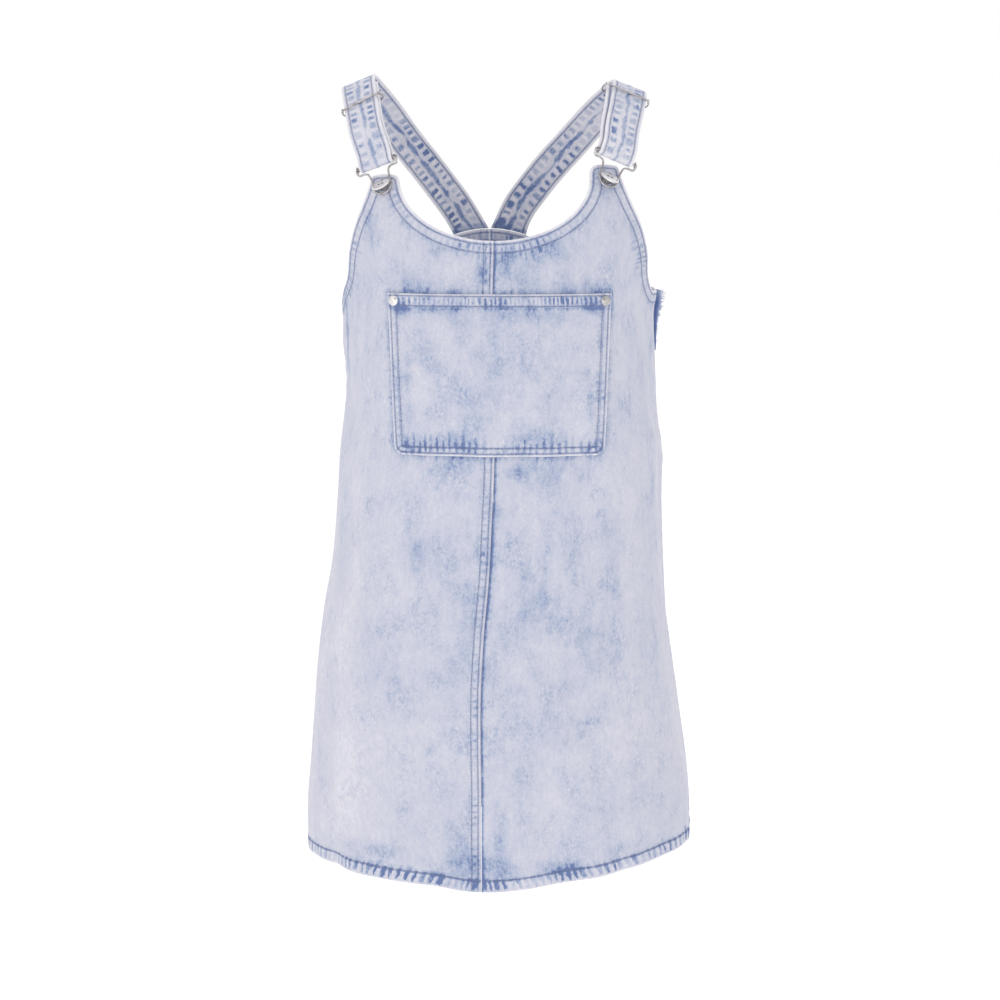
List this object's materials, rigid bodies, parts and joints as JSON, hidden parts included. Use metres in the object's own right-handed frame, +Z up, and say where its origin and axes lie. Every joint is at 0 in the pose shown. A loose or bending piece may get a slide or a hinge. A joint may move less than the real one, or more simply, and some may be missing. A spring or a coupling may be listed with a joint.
{
  "type": "denim pinafore mini dress",
  "caption": "Short sleeveless denim pinafore dress with a scooped bib, patch pocket and buckled straps, holding its hollow worn shape.",
  "frame": {"origin": "midway between the wearer's shoulders, at the height where the straps rest on them", "axes": "+Z up, the front of the dress faces -Y, +X towards the wearer's left"},
  "size_m": [0.3915, 0.269, 0.78],
  "materials": {
    "denim": "matte, bleach-washed twill",
    "denim_inside": "matte, unbleached twill with raw edge",
    "steel": "polished nickel-plated wire and sheet"
  },
  "bodies": {
    "root": {"front_left": "denim", "back_left": "denim", "strap_left": "denim", "buckle_left": "steel", "slider_left": "steel", "button_left": "steel", "rivet_left": "steel", "front_right": "denim", "back_right": "denim", "strap_right": "denim", "buckle_right": "steel", "slider_right": "steel", "button_right": "steel", "rivet_right": "steel", "bib_pocket": "denim", "seam_flap": "denim_inside"}
  },
  "joints": []
}
